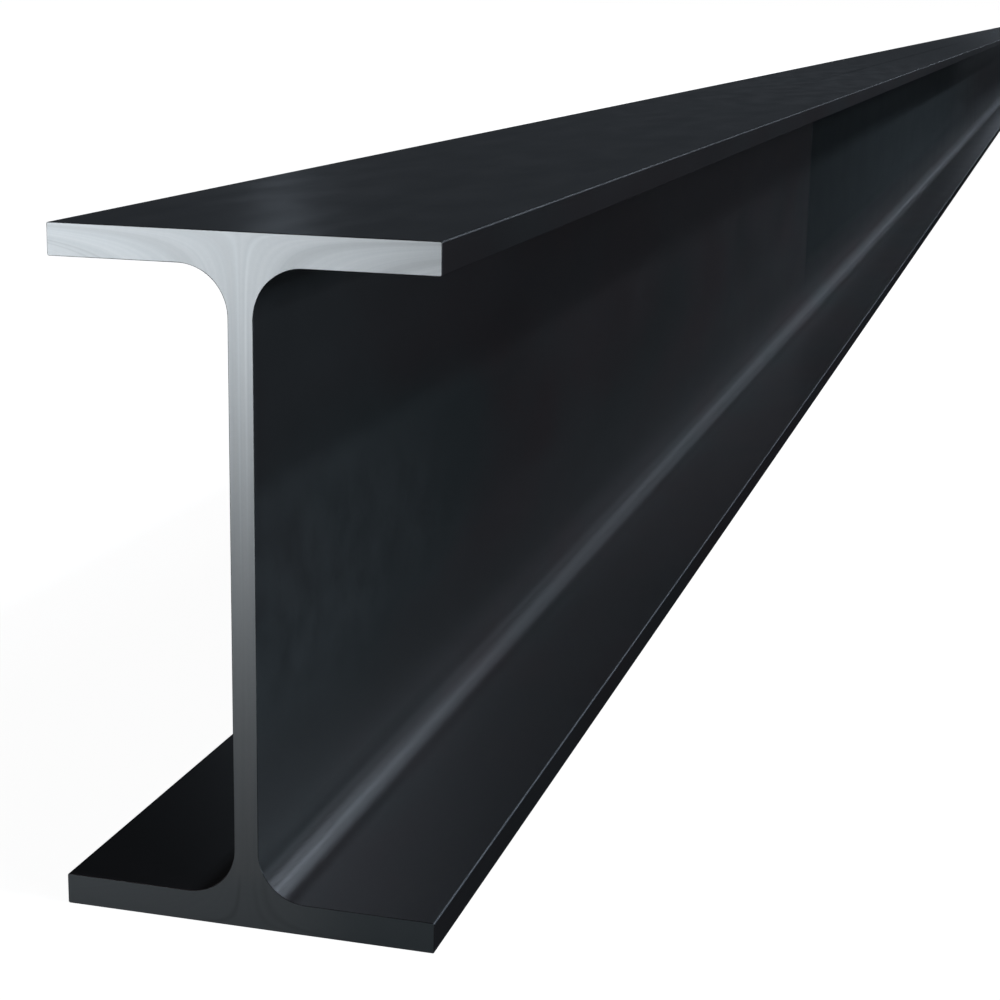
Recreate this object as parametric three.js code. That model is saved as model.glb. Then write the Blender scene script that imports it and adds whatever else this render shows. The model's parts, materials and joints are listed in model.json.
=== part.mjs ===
// Hot-rolled steel I-beam with parallel flanges, of the lightest 100 mm size:
// 97.6 mm deep, 55 mm wide, 6.7 kg a metre, in one 6 m bar with both ends sawn square.
//
// Millimetres. X runs along the beam, Y across the flanges and Z up the web.
// The origin is under the middle of the bottom flange, halfway along the beam.

import * as THREE from "three";

// The bar.
const beamLength = 6000;

// The rolled section.
const sectionDepth = 97.6; // over the outer faces of both flanges
const flangeWidth = 55;
const flangeThickness = 4.5;
const webThickness = 3.6;
const rootRadius = 7; // fillet where the web runs into a flange
const toeRadius = 0.3; // the slightly rounded long edges of the flanges

// Straight facets in each quarter arc of the section.
const facetsPerArc = 12;

// Colour of the blue-grey mill scale that the rolled faces keep.
const millScaleColour = 0x2b2f33;

const halfWidth = flangeWidth / 2;
const halfWeb = webThickness / 2;
const bottomFlangeTop = flangeThickness;
const topFlangeUnderside = sectionDepth - flangeThickness;
const toe = Math.min(toeRadius, flangeThickness / 2);

// An angle in degrees, as radians.
const degrees = (angle) => THREE.MathUtils.degToRad(angle);

// A quarter turn of the outline about (y, z), from one angle to the next. The line to its
// start is drawn too. Toes turn left, counter-clockwise, and roots turn right.
function quarterArc(outline, y, z, radius, startAngle, turnsRight) {
  const endAngle = startAngle + (turnsRight ? -90 : 90);
  outline.absarc(y, z, radius, degrees(startAngle), degrees(endAngle), turnsRight);
}

// The section's outline, counter-clockwise from the bottom flange's left toe, looking along
// the beam with Y to the right and Z up.
function sectionOutline() {
  const outline = new THREE.Shape();
  const toeY = halfWidth - toe;
  const rootY = halfWeb + rootRadius;

  outline.moveTo(-toeY, 0);
  // Right end of the bottom flange, and up its root fillet.
  quarterArc(outline, toeY, toe, toe, -90, false);
  quarterArc(outline, toeY, bottomFlangeTop - toe, toe, 0, false);
  quarterArc(outline, rootY, bottomFlangeTop + rootRadius, rootRadius, -90, true);
  // Up the web, out along the top flange's underside and round its right end.
  quarterArc(outline, rootY, topFlangeUnderside - rootRadius, rootRadius, 180, true);
  quarterArc(outline, toeY, topFlangeUnderside + toe, toe, -90, false);
  quarterArc(outline, toeY, sectionDepth - toe, toe, 0, false);
  // Across the top, round its left end and down the left root fillet.
  quarterArc(outline, -toeY, sectionDepth - toe, toe, 90, false);
  quarterArc(outline, -toeY, topFlangeUnderside + toe, toe, 180, false);
  quarterArc(outline, -rootY, topFlangeUnderside - rootRadius, rootRadius, 90, true);
  // Down the web, out along the bottom flange and round its left end.
  quarterArc(outline, -rootY, bottomFlangeTop + rootRadius, rootRadius, 0, true);
  quarterArc(outline, -toeY, bottomFlangeTop - toe, toe, 90, false);
  quarterArc(outline, -toeY, toe, toe, 180, false);
  return outline;
}

// The section extruded along its own Z, then turned so that this runs along the beam's X,
// with the section's width along Y and its depth along Z.
function rolledBar() {
  const geometry = new THREE.ExtrudeGeometry(sectionOutline(), {
    depth: beamLength,
    bevelEnabled: false,
    curveSegments: facetsPerArc / 2, // three.js cuts an arc into twice this many
  });
  geometry.translate(0, 0, -beamLength / 2);
  geometry.rotateX(Math.PI / 2);
  geometry.rotateZ(Math.PI / 2);
  return geometry;
}

const millScale = new THREE.MeshStandardMaterial({
  name: "mill_scale",
  color: millScaleColour,
  roughness: 0.42,
  metalness: 0.85,
});

const beam = new THREE.Mesh(rolledBar(), millScale);
beam.name = "i_beam";

const steelBeam = new THREE.Group();
steelBeam.name = "steel_i_beam";
steelBeam.add(beam);

export default steelBeam;
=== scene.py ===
"""A hot-rolled steel I-beam standing on its bottom flange, on a pale studio floor.

Metres, in the part's own frame: X along the beam, Y across the flanges, Z up the web. The
beam is one rolled piece, so it is one mesh: its section carried along its length, with two
finishes, the mill scale of the rolled faces and the bare steel of the sawn ends.
"""

import json
import math

import bpy
import numpy as np
from mathutils import Matrix, Vector


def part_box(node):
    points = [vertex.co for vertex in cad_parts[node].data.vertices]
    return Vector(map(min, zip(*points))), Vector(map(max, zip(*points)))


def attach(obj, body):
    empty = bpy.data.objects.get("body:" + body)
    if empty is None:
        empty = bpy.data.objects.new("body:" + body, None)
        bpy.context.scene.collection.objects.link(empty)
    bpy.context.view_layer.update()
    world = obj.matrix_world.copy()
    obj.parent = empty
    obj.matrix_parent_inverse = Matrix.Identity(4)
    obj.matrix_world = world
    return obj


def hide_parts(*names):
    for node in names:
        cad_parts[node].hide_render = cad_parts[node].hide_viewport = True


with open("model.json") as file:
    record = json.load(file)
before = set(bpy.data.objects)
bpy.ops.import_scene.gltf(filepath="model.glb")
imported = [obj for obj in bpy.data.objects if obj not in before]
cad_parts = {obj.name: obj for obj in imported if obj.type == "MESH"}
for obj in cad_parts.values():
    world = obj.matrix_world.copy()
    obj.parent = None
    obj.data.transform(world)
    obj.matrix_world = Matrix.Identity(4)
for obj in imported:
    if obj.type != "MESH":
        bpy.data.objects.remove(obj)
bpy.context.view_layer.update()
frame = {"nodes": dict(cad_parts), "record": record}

MM = 0.001

# ---------------------------------------------------------------------------------------
# The section, read from the part's own faces
# ---------------------------------------------------------------------------------------


def mount_place(name):
    """Where the record's mount of that name lies."""
    return next(m["pos_m"] for m in frame["record"]["mounts"] if m["name"] == name)


def corners_of(node):
    """The corners of a CAD node, as an array of (x, y, z)."""
    mesh = frame["nodes"][node].data
    places = np.empty(3 * len(mesh.vertices), np.float32)
    mesh.vertices.foreach_get("co", places)
    return places.reshape(-1, 3)


def lowest_corner(corners, side):
    """The height of the lowest corner on the upright face at y = side."""
    on_face = np.abs(corners[:, 1] - side) < 0.01 * MM
    return float(corners[on_face, 2].min())


beam_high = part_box("i_beam")[1]
HALF_LENGTH = beam_high.x
HALF_WIDTH = beam_high.y
DEPTH = beam_high.z
HALF_WEB = mount_place("web_face_plus_y")[1]
FLANGE = mount_place("bottom_flange_inner_face_plus_y")[2]
# A toe's flat face starts where its lower round ends, and the web's where its root fillet ends.
beam_corners = corners_of("i_beam")
TOE_RADIUS = lowest_corner(beam_corners, HALF_WIDTH)
ROOT_RADIUS = lowest_corner(beam_corners, HALF_WEB) - FLANGE

# The saw leaves each end's edge broken by a small uneven round.
EDGE_BREAK = 0.1 * MM
EDGE_BREAK_VARIES = 0.35

# On the web's -Y face a patch of matter scale starts sharply at the first place along X, grows
# lighter with painted light as far as the second, making up for lamp light that weakens along the
# beam, and dies out between the second and the third.
TONE_STEP = -2.404
PALEST = -1.6
PATCH_END = -0.8
STEP_BLUR = 0.005
# Within this distance of the near end the web's scale has smudges, and painted light makes it
# lighter.
END_REACH = 0.13
# Distances from the near end between which the web's scale turns from cold to warm.
COLD_END = (0.06, 0.18)
# Heights between which the scale changes: clear of the lower fillet, into and out of the band of
# painted shade above it, into the near end's part lit with painted light, out of its smudges, and
# high on the web.
CLEAR_OF_FILLET = (FLANGE + ROOT_RADIUS, 0.03)
BAND_STARTS = (0.011, 0.017)
BAND_ENDS = (0.018, 0.034)
PALE_STARTS = (0.02, 0.036)
SMUDGES_END = (0.045, 0.07)
HIGH_STARTS = (0.055, 0.078)
TOP_STARTS = (DEPTH - 0.3 * MM, DEPTH - 0.1 * MM)
# Distances from the web's middle plane between which it changes on the flanges: where their
# warmer, darker outer parts start, and where the painted shade in the upper fillet and beside it
# ends.
OUTER_STARTS = (0.009, 0.014)
UNDER_ENDS = (0.012, 0.016)

# Colours of the mill scale, as red, green, blue and alpha.
BLUE_GREEN = (0.0179, 0.0212, 0.0213, 1)
WARM_GREY = (0.0252, 0.0175, 0.0182, 1)
CLOUD_GREY = (0.032, 0.032, 0.033, 1)
# Painted shade above the lower fillet and in the upper fillet, also the darker tone towards the
# toes.
SHADE_AND_DARK_TONE = (0.004, 0.005, 0.005, 1)
# The matter patch's colour at TONE_STEP and at PALEST: the rise between them is painted light.
MATTER_AT_STEP = (0.0215, 0.0245, 0.025, 1)
MATTER_AT_PALEST = (0.0625, 0.0705, 0.072, 1)
# The near end's smudges, over a lightening that is painted light.
END_SMUDGE_AND_LIGHT = (0.057, 0.063, 0.0635, 1)
TOP_DARK = (0.003, 0.003, 0.0035, 1)
TOP_WISP = (0.047, 0.045, 0.045, 1)
# The toes' edges, worn bare and, on the lower flange, also a painted highlight.
WORN_EDGE_AND_HIGHLIGHT = (0.12, 0.13, 0.14, 1)
# Colours of the sawn steel: the two tones of its flow, and those of the lower flange, whose right
# part is darker with painted shade.
SAWN_DARK = (0.555, 0.575, 0.585, 1)
SAWN_PALE = (0.65, 0.66, 0.665, 1)
SAWN_LOW = (0.575, 0.615, 0.635, 1)
SAWN_LOW_RIGHT_SHADE = (0.42, 0.465, 0.485, 1)

# The flow that shows in a sawn end fans out within this reach of a flange's outer face.
FLOW_REACH = 8.0 * MM
FLOW_POWER = 0.6
# Bands of the flow, each with its middle and half width in mm and how much paler it is.
UPPER_BANDS = (
    (0.28, 0.25, 0.09),
    (-0.72, 0.25, 0.09),
    (1.0, 0.6, -0.06),
    (4.9, 1.8, -0.1),
    (-4.6, 1.8, -0.1),
    (9.0, 3.0, 0.05),
    (-8.5, 3.0, 0.04),
    (13.1, 0.45, -0.12),
    (14.3, 0.45, -0.1),
    (-13.5, 2.2, -0.12),
)
LOWER_BANDS = (
    (0.85, 0.35, -0.14),
    (-0.9, 0.4, -0.07),
    (-2.0, 0.7, -0.09),
)

ROOT_STEPS = 28
TOE_STEPS = 6
BREAK_STEPS = 3
STATIONS_PER_ROW = 40

# The texture map lays the bar's length out in rows, one above the other, under its two ends.
MAP_ROWS = 3
MAP_ROW_SHARE = 0.72
MAP_GAP = 0.004

# ---------------------------------------------------------------------------------------
# Mesh
# ---------------------------------------------------------------------------------------


def in_scene(thing):
    """Puts an object in the scene, and returns it."""
    bpy.context.scene.collection.objects.link(thing)
    return thing


def quarter_round(centre, radius, start, turn, steps):
    """A quarter circle about centre, from the angle start, turning left (1) or right (-1).

    Returns its points, centre + radius * (cos, sin), and the unit normals that point out of
    the steel: along the radius where it turns left, and against it where it turns right.
    """
    angle = math.radians(start) + turn * np.linspace(0.0, math.pi / 2, steps + 1)
    radial = np.column_stack((np.cos(angle), np.sin(angle)))
    return np.asarray(centre) + radius * radial, turn * radial


def section_outline():
    """The I-section's closed outline and its outward normals, as arrays of (y, z).

    A quarter of it runs from the middle of the bottom face to the toe's two rounds, back
    along the flange to the root fillet and up to the middle of the web. Its mirror image at
    half depth follows, and the mirror image of both across the web closes the outline.
    """
    toe_y = HALF_WIDTH - TOE_RADIUS
    root = (HALF_WEB + ROOT_RADIUS, FLANGE + ROOT_RADIUS)
    arcs = (
        quarter_round((toe_y, TOE_RADIUS), TOE_RADIUS, -90, 1, TOE_STEPS),
        quarter_round((toe_y, FLANGE - TOE_RADIUS), TOE_RADIUS, 0, 1, TOE_STEPS),
        quarter_round(root, ROOT_RADIUS, -90, -1, ROOT_STEPS),
    )
    points = np.vstack([[(0.0, 0.0)], *(arc[0] for arc in arcs), [(HALF_WEB, DEPTH / 2)]])
    normals = np.vstack([[(0.0, -1.0)], *(arc[1] for arc in arcs), [(1.0, 0.0)]])
    upside_down = np.array((1.0, -1.0))
    across = np.array((-1.0, 1.0))
    points = np.vstack((points, (points * upside_down + (0.0, DEPTH))[-2::-1]))
    normals = np.vstack((normals, (normals * upside_down)[-2::-1]))
    points = np.vstack((points, (points * across)[-2:0:-1]))
    normals = np.vstack((normals, (normals * across)[-2:0:-1]))
    return points, normals


def uneven(along, waves):
    """A smooth unevenness from -1 to 1: the mean of sines of the distance along an edge."""
    return sum(np.sin(along * 2 * math.pi / length + phase) for length, phase in waves) / len(waves)


def swept_bar(name):
    """The section carried along X, from one sawn end to the other, as one closed mesh.

    Ring i, point j lies at x(i, j), with the outline's point j moved in along its normal by
    inset(i, j). Between the ends the inset is 0 and the rings are evenly spaced. At an end
    the rings go round the broken edge: for a turn t from 0 to 90 degrees and a radius b(j),
    x is b * (1 - sin t) from the end and the inset is b * (1 - cos t). The normal turns with
    it, from the outline's own to the end's. A flat face closes each end. The attribute
    "rubbed" is |2 * ny * nz| of the normal on the toes' rounds, 1 in their middle, and 0
    elsewhere.
    """
    outline, outward = section_outline()
    count = len(outline)
    step = np.linalg.norm(np.roll(outline, -1, 0) - outline, axis=1)
    girth = np.concatenate(((0.0,), np.cumsum(step)))
    edge_waves = ((9.3 * MM, 0.4), (5.1 * MM, 2.0), (21.0 * MM, 4.1))
    radius = EDGE_BREAK * (1 + EDGE_BREAK_VARIES * uneven(girth[:-1], edge_waves))

    turn = np.linspace(math.pi / 2, 0.0, BREAK_STEPS + 1)[:, None]
    low_x = radius * (1 - np.sin(turn)) - HALF_LENGTH
    low_inset = radius * (1 - np.cos(turn))
    spans = MAP_ROWS * STATIONS_PER_ROW
    middle_x = np.linspace(-HALF_LENGTH, HALF_LENGTH, spans + 1)[1:-1, None] * np.ones(count)
    x = np.vstack((low_x, middle_x, -low_x[::-1]))
    inset = np.vstack((low_inset, 0 * middle_x, low_inset[::-1]))
    lean = np.concatenate((-turn[:, 0], np.zeros(len(middle_x)), turn[::-1, 0]))[:, None]

    yz = outline - inset[:, :, None] * outward
    places = np.dstack((x, yz))
    facing = np.dstack((np.sin(lean) * np.ones(count), np.cos(lean)[:, :, None] * outward))

    rings = len(x)
    index = np.arange(rings * count).reshape(rings, count)
    beside = np.roll(index, -1, axis=1)
    quads = np.stack((index[:-1], beside[:-1], beside[1:], index[1:]), axis=-1).reshape(-1, 4)
    faces = quads.tolist() + [index[0, ::-1].tolist(), index[-1].tolist()]

    mesh = bpy.data.meshes.new(name)
    mesh.from_pydata(places.reshape(-1, 3), [], faces)
    mesh.polygons.foreach_set("use_smooth", np.ones(len(faces), bool))

    finish = np.zeros(len(faces), np.int32)
    finish[-2:] = 1
    mesh.polygons.foreach_set("material_index", finish)

    texture_map = mesh.uv_layers.new(name="OFBake")
    texture_map.uv.foreach_set("vector", bar_map(x, yz, girth).ravel())

    on_toe = np.abs(outline[:, 0]) > HALF_WIDTH - 2 * TOE_RADIUS
    rubbed = np.tile(on_toe * np.abs(2 * outward[:, 0] * outward[:, 1]), rings).astype(np.float32)
    mesh.attributes.new("rubbed", "FLOAT", "POINT").data.foreach_set("value", rubbed)

    mesh.normals_split_custom_set_from_vertices(facing.reshape(-1, 3))
    mesh.update()
    return in_scene(bpy.data.objects.new(name, mesh))


def bar_map(x, yz, girth):
    """Where each face corner lies in the texture map, as an array of (u, v).

    The length is cut into rows. In a row u is the share of the row's length and v the share
    of the girth. The ends lie side by side above the rows, with u up the web and v across.
    """
    rings, count = x.shape
    row_length = 2 * HALF_LENGTH / MAP_ROWS
    ring_middle = (x[:-1, :1] + x[1:, :1]) / 2 + HALF_LENGTH
    row = np.clip(np.floor(ring_middle / row_length), 0, MAP_ROWS - 1)
    row_height = MAP_ROW_SHARE / MAP_ROWS
    beside = np.roll(np.arange(count), -1)
    along = np.stack((x[:-1], x[:-1, beside], x[1:, beside], x[1:]), axis=-1)
    u = (along + HALF_LENGTH) / row_length - row[:, :, None]
    share = girth / girth[-1]
    around = np.column_stack((share[:-1], share[1:], share[1:], share[:-1]))
    v = np.broadcast_to(around, (rings - 1, count, 4))
    u = MAP_GAP + u * (1 - 2 * MAP_GAP)
    v = (row[:, :, None] + v * (1 - 4 * MAP_GAP) + 2 * MAP_GAP) * row_height
    sides = np.stack((u, v), axis=-1).reshape(-1, 2)

    scale = (0.5 - 2 * MAP_GAP) / DEPTH
    low_end = (yz[0, ::-1, ::-1] + (0.0, HALF_WIDTH)) * scale + (MAP_GAP, MAP_ROW_SHARE)
    high_end = (yz[-1, :, ::-1] + (0.0, HALF_WIDTH)) * scale + (0.5 + MAP_GAP, MAP_ROW_SHARE)
    return np.vstack((sides, low_end, high_end)).astype(np.float32)


# ---------------------------------------------------------------------------------------
# Shader nodes
# ---------------------------------------------------------------------------------------


def add(tree, kind, inputs=None, **settings):
    """A new node with its own settings, and its inputs set to values or joined to other sockets."""
    made = tree.nodes.new(kind)
    for name, value in settings.items():
        setattr(made, name, value)
    for name, value in (inputs or {}).items():
        if isinstance(value, bpy.types.NodeSocket):
            tree.links.new(value, made.inputs[name])
        else:
            made.inputs[name].default_value = value
    return made


def maths(tree, operation, *values, clamp=False):
    """The result of one Math node."""
    inputs = dict(enumerate(values))
    return add(tree, "ShaderNodeMath", inputs, operation=operation, use_clamp=clamp).outputs[0]


def product(tree, first, *others):
    """The product of several values."""
    for other in others:
        first = maths(tree, "MULTIPLY", first, other)
    return first


def total(tree, first, *others):
    """The sum of several values."""
    for other in others:
        first = maths(tree, "ADD", first, other)
    return first


def largest(tree, first, *others):
    """The largest of several values."""
    for other in others:
        first = maths(tree, "MAXIMUM", first, other)
    return first


def ramp(tree, value, start, end, low=0.0, high=1.0):
    """value carried from start..end to low..high, easing in and out, and held beyond."""
    inputs = {"Value": value, "From Min": start, "From Max": end, "To Min": low, "To Max": high}
    return add(tree, "ShaderNodeMapRange", inputs, interpolation_type="SMOOTHSTEP").outputs["Result"]


def blend(tree, share, first, second):
    """The colour first where share is 0 and second where it is 1."""
    return add(tree, "ShaderNodeMix", {0: share, 6: first, 7: second}, data_type="RGBA").outputs[2]


def shaded(tree, colour, shade):
    """A colour multiplied by a shade."""
    inputs = {0: 1.0, 6: colour, 7: shade}
    mixed = add(tree, "ShaderNodeMix", inputs, data_type="RGBA", blend_type="MULTIPLY")
    return mixed.outputs[2]


def mixed_number(tree, share, first, second):
    """The number first where share is 0 and second where it is 1."""
    return add(tree, "ShaderNodeMix", {0: share, 2: first, 3: second}).outputs[0]


def stretched(tree, vector, scale, place=(0.0, 0.0, 0.0)):
    """vector scaled by a factor for each axis, then moved."""
    inputs = {"Vector": vector, "Scale": scale, "Location": place}
    return add(tree, "ShaderNodeMapping", inputs).outputs["Vector"]


def new_group(name, inputs, outputs):
    """An empty node group with named inputs, {name: (kind, default)}, and outputs, {name: kind}."""
    tree = bpy.data.node_groups.new(name, "ShaderNodeTree")
    for label, (kind, default) in inputs.items():
        socket = tree.interface.new_socket(label, in_out="INPUT", socket_type="NodeSocket" + kind)
        if default is not None:
            socket.default_value = default
    for label, kind in outputs.items():
        tree.interface.new_socket(label, in_out="OUTPUT", socket_type="NodeSocket" + kind)
    return tree, tree.nodes.new("NodeGroupInput").outputs, tree.nodes.new("NodeGroupOutput").inputs


def mottle_group():
    """Cloudy patches of a given size: fractal noise, its part between two levels spread to 0..1."""
    inputs = {
        "Vector": ("Vector", None),
        "Size": ("Float", 0.03),
        "Detail": ("Float", 2.0),
        "Low": ("Float", 0.4),
        "High": ("Float", 0.6),
    }
    tree, given, out = new_group("mottle", inputs, {"Mask": "Float"})
    inputs = {
        "Vector": given["Vector"],
        "Scale": maths(tree, "DIVIDE", 1.0, given["Size"]),
        "Detail": given["Detail"],
    }
    value = add(tree, "ShaderNodeTexNoise", inputs).outputs[0]
    tree.links.new(ramp(tree, value, given["Low"], given["High"]), out["Mask"])
    return tree


def grain_group():
    """The steel's fine grain, a coarse and a fine noise added: a height, and a shade about 1."""
    inputs = {"Vector": ("Vector", None), "Size": ("Float", 0.001), "Shade": ("Float", 0.1)}
    tree, given, out = new_group("steel_grain", inputs, {"Height": "Float", "Shade": "Float"})
    layers = []
    for finer, weight in ((1.0, 0.65), (4.0, 0.35)):
        scale = maths(tree, "DIVIDE", finer, given["Size"])
        inputs = {"Vector": given["Vector"], "Scale": scale, "Detail": 3.0}
        layer = add(tree, "ShaderNodeTexNoise", inputs).outputs[0]
        layers.append(maths(tree, "MULTIPLY", layer, weight))
    height = maths(tree, "ADD", *layers)
    swing = maths(tree, "MULTIPLY", maths(tree, "SUBTRACT", height, 0.5), given["Shade"])
    tree.links.new(height, out["Height"])
    tree.links.new(maths(tree, "MULTIPLY_ADD", swing, 2.0, 1.0), out["Shade"])
    return tree


MOTTLE = mottle_group()
GRAIN = grain_group()


def mottle(tree, vector, size, detail, low, high):
    """The mask of the mottle group, placed in a material."""
    inputs = {"Vector": vector, "Size": size, "Detail": detail, "Low": low, "High": high}
    return add(tree, "ShaderNodeGroup", inputs, node_tree=MOTTLE).outputs["Mask"]


def grain(tree, vector, size, shade):
    """The height and the shade of the grain group, placed in a material."""
    inputs = {"Vector": vector, "Size": size, "Shade": shade}
    made = add(tree, "ShaderNodeGroup", inputs, node_tree=GRAIN)
    return made.outputs["Height"], made.outputs["Shade"]


def new_material(name):
    """A material, its tree, its Principled shader and the piece's own coordinates."""
    made = bpy.data.materials.new(name)
    made.use_nodes = True
    tree = made.node_tree
    where = add(tree, "ShaderNodeTexCoord").outputs["Object"]
    return made, tree, tree.nodes["Principled BSDF"], where


def connect(tree, shader, sockets):
    """Each named socket of the Principled shader joined to the value for it."""
    for name, value in sockets.items():
        tree.links.new(value, shader.inputs[name])


def noise(tree, vector, size, detail):
    """Fractal noise of a given size, which lies about 0.5."""
    inputs = {"Vector": vector, "Scale": 1 / size, "Detail": detail}
    return add(tree, "ShaderNodeTexNoise", inputs).outputs[0]


def scale_zones(tree, where):
    """Where the scale differs: masks made from the place on the beam, by name.

    web: the web's two faces. top: the top face. far_side: all else on the +Y side. high: high
    on the web. low_band: painted shade just above the lower fillet. under: painted shade in the
    upper fillet and the flange beside it. outer: the flanges' outer parts. matter: the patch of
    matter scale. near_end: the web close to the near end, where painted light makes it
    lighter. x and z are the place itself.
    """
    x, y, z = add(tree, "ShaderNodeSeparateXYZ", {0: where}).outputs
    out = maths(tree, "ABSOLUTE", y)
    high_fillet = DEPTH - FLANGE - ROOT_RADIUS
    web = ramp(tree, out, HALF_WEB * 1.1, HALF_WEB * 2, 1.0, 0.0)
    above = ramp(tree, z, *CLEAR_OF_FILLET)
    top = ramp(tree, z, *TOP_STARTS)
    not_top = maths(tree, "SUBTRACT", 1.0, top)
    far_side = product(tree, ramp(tree, y, HALF_WEB / 2, HALF_WEB), not_top)
    high = product(tree, web, ramp(tree, z, *HIGH_STARTS))
    low_band = product(tree, web, ramp(tree, z, *BAND_ENDS, 1.0, 0.0), ramp(tree, z, *BAND_STARTS))
    under = product(
        tree,
        ramp(tree, z, high_fillet, high_fillet + ROOT_RADIUS / 2),
        ramp(tree, out, *UNDER_ENDS, 1.0, 0.0),
        not_top,
    )
    outer = ramp(tree, out, *OUTER_STARTS, 0.0, 0.4)
    matter = product(
        tree,
        web,
        above,
        ramp(tree, x, TONE_STEP - STEP_BLUR, TONE_STEP + STEP_BLUR),
        ramp(tree, x, PALEST, PATCH_END, 1.0, 0.0),
        ramp(tree, y, -HALF_WEB / 2, HALF_WEB / 2, 1.0, 0.0),
    )
    near_end = product(
        tree,
        web,
        above,
        ramp(tree, x, -HALF_LENGTH, -HALF_LENGTH + END_REACH, 1.0, 0.0),
        ramp(tree, z, *PALE_STARTS, 0.3, 1.0),
    )
    return {
        "x": x,
        "z": z,
        "web": web,
        "top": top,
        "far_side": far_side,
        "high": high,
        "low_band": low_band,
        "under": under,
        "outer": outer,
        "matter": matter,
        "near_end": near_end,
    }


def warmth(tree, zone, hue):
    """How warm the scale is: in patches, and more so high on the web, near the toes and on +Y.

    Lower on the web it is colder close to the near end and a little warmer further on.
    """
    cold_from, cold_to = COLD_END
    from_end = ramp(tree, zone["x"], cold_from - HALF_LENGTH, cold_to - HALF_LENGTH, -0.6, 0.2)
    from_end = product(tree, from_end, maths(tree, "SUBTRACT", zone["web"], zone["high"]))
    warm = total(tree, hue, zone["outer"], zone["far_side"], from_end)
    return maths(tree, "MULTIPLY_ADD", zone["high"], 0.6, warm, clamp=True)


def mill_scale():
    """The dark blue-grey oxide skin of the rolled faces.

    Clouds drawn out along the bar vary its tone and its gloss, and fine rolling lines run
    along it. Its hue wanders between blue-green and a warmer grey. It is glossier on the top
    face, where faint wisps lie, and has smudges close to the near end, where painted light also
    makes it lighter. Painted shade darkens it just above the lower fillet and in the upper one,
    and it is darker towards the toes. The toes' rounded edges are worn bare, and on the lower
    flange they also carry a painted highlight. On the web's -Y face it is matter beyond
    TONE_STEP, and painted light makes it lighter there further along. The roughness stays well
    under or well over 0.27 on each face.
    """
    made, tree, shader, where = new_material("mill_scale_skin")
    zone = scale_zones(tree, where)
    clouds = mottle(tree, stretched(tree, where, (0.5, 1.0, 1.0)), 0.024, 4.0, 0.3, 0.7)
    hue = mottle(tree, stretched(tree, where, (0.4, 1.0, 1.0), (3.0, 1.0, 2.0)), 0.03, 4.0, 0.3, 0.7)
    wisps = mottle(tree, stretched(tree, where, (0.3, 1.0, 1.0)), 0.0075, 6.0, 0.3, 0.7)
    smudges = mottle(tree, where, 0.0065, 9.0, 0.25, 0.75)
    lines = noise(tree, stretched(tree, where, (0.01, 1.0, 1.0)), 0.0011, 1.0)
    shade = grain(tree, where, 0.0012, 0.12)[1]
    edge = add(tree, "ShaderNodeAttribute", attribute_name="rubbed").outputs["Fac"]

    # Painted shade just above the lower fillet and in the upper fillet, and a darker tone towards
    # the toes.
    darkened = largest(
        tree,
        product(tree, zone["low_band"], 0.65),
        zone["under"],
        product(tree, zone["outer"], 0.7),
    )
    # Painted light: the matter patch grows lighter along X, where the lamps' light weakens.
    painted_light_ramp = ramp(tree, zone["x"], TONE_STEP, PALEST)
    # Close to the near end the web gets smudges over an even lightening, which is painted light.
    smudge_contrast = ramp(tree, zone["z"], *SMUDGES_END, 0.6, 0.2)
    smudges_and_painted_light = maths(tree, "SUBTRACT", smudges, 0.5)
    smudges_and_painted_light = maths(tree, "MULTIPLY_ADD", smudges_and_painted_light, smudge_contrast, 0.8)
    # The toes' rounds are worn bare, and on the lower flange they also carry a painted highlight.
    rubbed = product(tree, edge, ramp(tree, zone["z"], FLANGE, FLANGE * 2, 0.8, 0.02))

    colour = blend(tree, warmth(tree, zone, hue), BLUE_GREEN, WARM_GREY)
    colour = blend(tree, product(tree, clouds, 0.35), colour, CLOUD_GREY)
    colour = blend(tree, darkened, colour, SHADE_AND_DARK_TONE)
    matter_colour = blend(tree, painted_light_ramp, MATTER_AT_STEP, MATTER_AT_PALEST)
    colour = blend(tree, zone["matter"], colour, matter_colour)
    colour = blend(tree, product(tree, zone["near_end"], smudges_and_painted_light, 0.6), colour, END_SMUDGE_AND_LIGHT)
    wispy = blend(tree, wisps, TOP_DARK, TOP_WISP)
    colour = blend(tree, product(tree, zone["top"], 0.8), colour, wispy)
    colour = blend(tree, rubbed, colour, WORN_EDGE_AND_HIGHLIGHT)

    rough = ramp(tree, clouds, 0.0, 1.0, 0.285, 0.305)
    rough = maths(tree, "MULTIPLY_ADD", zone["matter"], 0.07, rough)
    rough = mixed_number(tree, zone["top"], rough, ramp(tree, wisps, 0.0, 1.0, 0.18, 0.22))
    rough = maths(tree, "MULTIPLY_ADD", edge, 0.2, rough)
    bump = add(tree, "ShaderNodeBump", {"Height": lines, "Distance": 0.001 * MM})
    sockets = {
        "Base Color": shaded(tree, colour, shade),
        "Roughness": rough,
        "Specular IOR Level": ramp(tree, zone["matter"], 0.0, 1.0, 0.5, 0.01),
        "Normal": bump.outputs["Normal"],
    }
    connect(tree, shader, sockets)
    return made


def banded(tree, place, bands):
    """The sum of soft bands across a place, each given by its middle, half width and strength."""
    tones = []
    for middle, half_width, strength in bands:
        away = maths(tree, "ABSOLUTE", maths(tree, "SUBTRACT", place, middle * MM))
        tones.append(ramp(tree, away, 0.0, half_width * MM, strength, 0.0))
    return total(tree, *tones)


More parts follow.
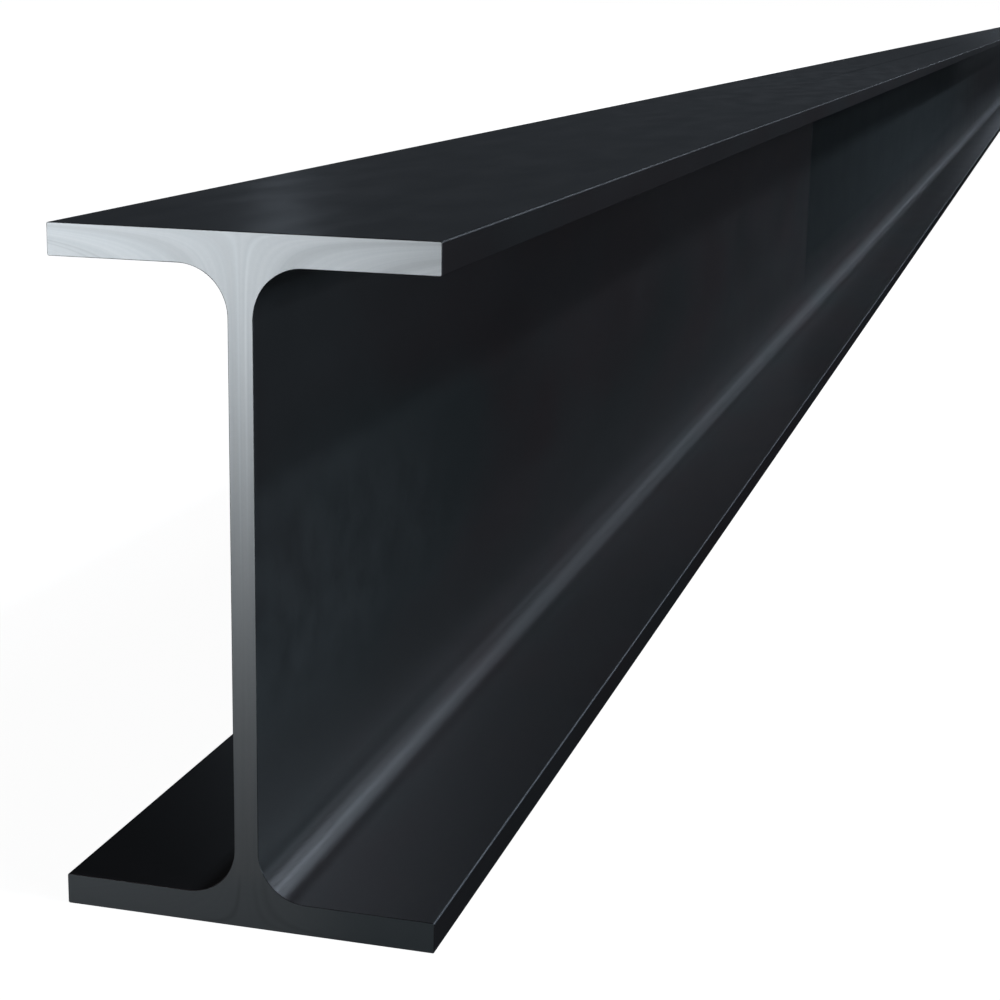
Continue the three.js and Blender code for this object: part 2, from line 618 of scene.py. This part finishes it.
def sawn_steel():
    """The bare sawn end, which shows how the steel flowed as it was rolled.

    The flow runs up the web and fans out into each flange, along the curves on which
    y * tanh(d / FLOW_REACH) ** FLOW_POWER is constant, where d is the distance from the
    flange's outer face. That product is the flow's place: each curve has its own tone.
    """
    made, tree, shader, where = new_material("sawn_steel")
    x, y, z = add(tree, "ShaderNodeSeparateXYZ", {0: where}).outputs
    depth = maths(tree, "MINIMUM", z, maths(tree, "SUBTRACT", DEPTH, z))
    reach = maths(tree, "TANH", maths(tree, "DIVIDE", depth, FLOW_REACH))
    flow = product(tree, y, maths(tree, "POWER", reach, FLOW_POWER))
    slow = product(tree, z, 0.02)
    along = add(tree, "ShaderNodeCombineXYZ", {0: x, 1: flow, 2: slow}).outputs[0]
    wide = mottle(tree, along, 0.0032, 3.0, 0.25, 0.75)
    fine = mottle(tree, along, 0.0006, 3.0, 0.25, 0.75)
    streaks = maths(tree, "MULTIPLY_ADD", wide, 0.5, product(tree, fine, 0.5))
    height, shade = grain(tree, where, 0.0006, 0.04)

    high_up = ramp(tree, z, 0.35 * DEPTH, 0.65 * DEPTH)
    low_down = ramp(tree, z, FLANGE * 1.2, FLANGE * 2, 1.0, 0.0)
    # Painted shade: the lower flange's right part is darker.
    low_right_shade = product(tree, low_down, ramp(tree, y, -0.02, -0.004, 1.0, 0.0))
    upper = product(tree, banded(tree, flow, UPPER_BANDS), high_up)
    lower = product(tree, banded(tree, flow, LOWER_BANDS), low_down)
    colour = blend(tree, streaks, SAWN_DARK, SAWN_PALE)
    colour = blend(tree, product(tree, low_down, 0.6), colour, SAWN_LOW)
    colour = blend(tree, low_right_shade, colour, SAWN_LOW_RIGHT_SHADE)

    bump = add(tree, "ShaderNodeBump", {"Height": height, "Distance": 0.004 * MM})
    sockets = {
        "Base Color": shaded(tree, colour, total(tree, upper, lower, shade)),
        "Roughness": ramp(tree, streaks, 0.0, 1.0, 0.37, 0.36),
        "Normal": bump.outputs["Normal"],
    }
    connect(tree, shader, sockets)
    shader.inputs["Metallic"].default_value = 1.0
    return made


# ---------------------------------------------------------------------------------------
# The beam
# ---------------------------------------------------------------------------------------

beam = swept_bar("rolled_beam")
beam.data.materials.append(mill_scale())
beam.data.materials.append(sawn_steel())
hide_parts("i_beam")
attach(beam, "root")

# ---------------------------------------------------------------------------------------
# Studio
# ---------------------------------------------------------------------------------------

# The eye's place before the near end, beside the beam's middle plane and above the floor.
EYE = Vector((-HALF_LENGTH - 0.2503, -0.1031, 0.12742))
HEADING = math.radians(15.084)
PITCH = math.radians(-13.597)
ROLL = math.radians(1.071)
LENS = 74.55
COOL = (0.87, 1.0, 1.16)
NEARLY_WHITE = (0.945, 1.0, 1.045)

# Strips hang along the beam's -Y side, all at one distance from a line near the lower fillet.
STRIP_AXIS = (-0.01, 0.03)
STRIP_DISTANCE = 0.5
# Each strip: its elevation in degrees, where it starts and ends along X, its width and its watts.
STRIPS = {
    "strip_key": (50.0, -2.5, -2.2, 0.035, 0.45),
    "strip_key_mid": (50.0, -2.2, -1.95, 0.035, 0.121),
    "strip_key_far": (46.0, -1.7, -1.3, 0.035, 0.0553),
    "strip_key_end": (50.0, -0.5, 3.3, 0.035, 0.512),
    "strip_steep": (66.0, -2.5, -2.2, 0.08, 0.397),
    "strip_steep_mid": (66.0, -2.2, -1.5, 0.08, 0.0611),
    "strip_steep_far": (66.0, -1.5, -0.3, 0.08, 0.122),
    "strip_over_end": (80.0, -0.3, 3.3, 0.08, 4.23),
    "strip_flat": (33.0, -2.5, -2.2, 0.08, 0.403),
    "strip_flat_far": (33.0, -1.5, -0.3, 0.08, 0.174),
    "strip_low": (8.0, -2.5, -2.2, 0.08, 0.117),
    "strip_low_mid": (8.0, -2.2, -1.5, 0.08, 0.036),
}
# Each softbox: its place, the point that it faces, its size, its watts and its colour.
SOFTBOXES = {
    "side_low": ((-3.3, -0.6, 0.08), (-2.98, 0.0, 0.05), (0.2, 0.1), 1.46, COOL),
    "far_left": ((8.0, 3.25, 3.0), (0.0, 3.25, 3.0), (6.5, 6.0), 3.85, COOL),
    "far_right": ((8.0, -2.5, 0.75), (0.0, -2.5, 0.75), (5.0, 1.5), 3.01, COOL),
    "back_left": ((-0.4533, 0.9818, 0.8), (-2.95, 0.0, 0.098), (0.06, 0.4), 0.055, COOL),
    "far_side": ((-1.0, 1.2, 0.4), (1.5, 0.0, 0.05), (1.0, 0.5), 11.0, NEARLY_WHITE),
    "far_side_end": ((1.2, 1.2, 0.3), (2.2, 0.0, 0.05), (3.0, 0.4), 9.0, NEARLY_WHITE),
    "far_end": ((3.3, 0.2, 0.05), (3.0, 0.0, 0.05), (0.2, 0.08), 0.3, NEARLY_WHITE),
    "end_front": ((-3.261, 0.212, 0.063), (-3.0, 0.0, 0.06), (0.356, 0.106), 0.235, NEARLY_WHITE),
}
SUN_ELEVATION = math.radians(50)
SUN_STRENGTH = 0.806
SUN_WIDTH = math.radians(4)
DIM = 0.00845


def make_camera():
    """The camera, headed from +X towards +Y, then pitched, and leaned a little on its own axis."""
    data = bpy.data.cameras.new("camera")
    data.sensor_width = 36.0
    data.lens = LENS
    data.clip_start = 0.01
    data.clip_end = 400.0
    camera = in_scene(bpy.data.objects.new("camera", data))
    level = Matrix.Rotation(HEADING - math.pi / 2, 4, "Z")
    tilt = Matrix.Rotation(math.pi / 2 + PITCH, 4, "X")
    lean = Matrix.Rotation(ROLL, 4, "Z")
    camera.matrix_world = Matrix.Translation(EYE) @ level @ tilt @ lean
    bpy.context.scene.camera = camera


def softbox(name, place, aim, size, watts, colour):
    """A rectangular lamp at a place, facing a point, with its first side kept level."""
    data = bpy.data.lights.new(name, "AREA")
    data.shape = "RECTANGLE"
    data.size, data.size_y = size
    data.energy = watts
    data.color = colour
    lamp = in_scene(bpy.data.objects.new(name, data))
    turn = (Vector(aim) - Vector(place)).normalized().to_track_quat("-Z", "Y")
    lamp.matrix_world = Matrix.Translation(place) @ turn.to_matrix().to_4x4()
    lamp.visible_camera = False


def strip(name, elevation, start, end, width, watts):
    """A long softbox level with X, at an elevation above the strips' axis."""
    middle = (start + end) / 2
    y, z = STRIP_AXIS
    angle = math.radians(elevation)
    spot = (middle, y - STRIP_DISTANCE * math.cos(angle), z + STRIP_DISTANCE * math.sin(angle))
    softbox(name, spot, (middle, y, z), (end - start, width), watts, COOL)


def sun():
    """A distant soft lamp square to the beam, which lays the top flange's shadow on the web."""
    data = bpy.data.lights.new("sun", "SUN")
    data.energy = SUN_STRENGTH
    data.angle = SUN_WIDTH
    data.color = COOL
    lamp = in_scene(bpy.data.objects.new("sun", data))
    lamp.rotation_euler = (math.pi / 2 - SUN_ELEVATION, 0.0, 0.0)


def pale_floor():
    """A wide white floor that takes the beam's shadow and isn't mirrored in the beam."""
    half = 120.0
    corners = [(-half, -half, 0), (half, -half, 0), (half, half, 0), (-half, half, 0)]
    mesh = bpy.data.meshes.new("floor")
    mesh.from_pydata(corners, [], [(0, 1, 2, 3)])
    floor = in_scene(bpy.data.objects.new("floor", mesh))
    paint = bpy.data.materials.new("floor_paint")
    paint.use_nodes = True
    shader = paint.node_tree.nodes["Principled BSDF"]
    shader.inputs["Base Color"].default_value = (0.25, 0.25, 0.25, 1)
    shader.inputs["Roughness"].default_value = 0.9
    shader.inputs["Specular IOR Level"].default_value = 0.0
    shader.inputs["Emission Color"].default_value = (1, 1, 1, 1)
    shader.inputs["Emission Strength"].default_value = 0.965
    mesh.materials.append(paint)
    floor.visible_glossy = False
    floor.visible_diffuse = False


def pale_world():
    """White where the camera looks past the floor, and a dim even light for the beam."""
    world = bpy.data.worlds.new("studio")
    world.use_nodes = True
    bpy.context.scene.world = world
    tree = world.node_tree
    seen = add(tree, "ShaderNodeLightPath").outputs["Is Camera Ray"]
    dim = tuple(DIM * part for part in COOL) + (1.0,)
    tree.links.new(blend(tree, seen, dim, (1, 1, 1, 1)), tree.nodes["Background"].inputs["Color"])


make_camera()
pale_floor()
pale_world()
sun()
for strip_name, values in STRIPS.items():
    strip(strip_name, *values)
for box_name, values in SOFTBOXES.items():
    softbox(box_name, *values)

bpy.context.scene.view_settings.view_transform = "Standard"
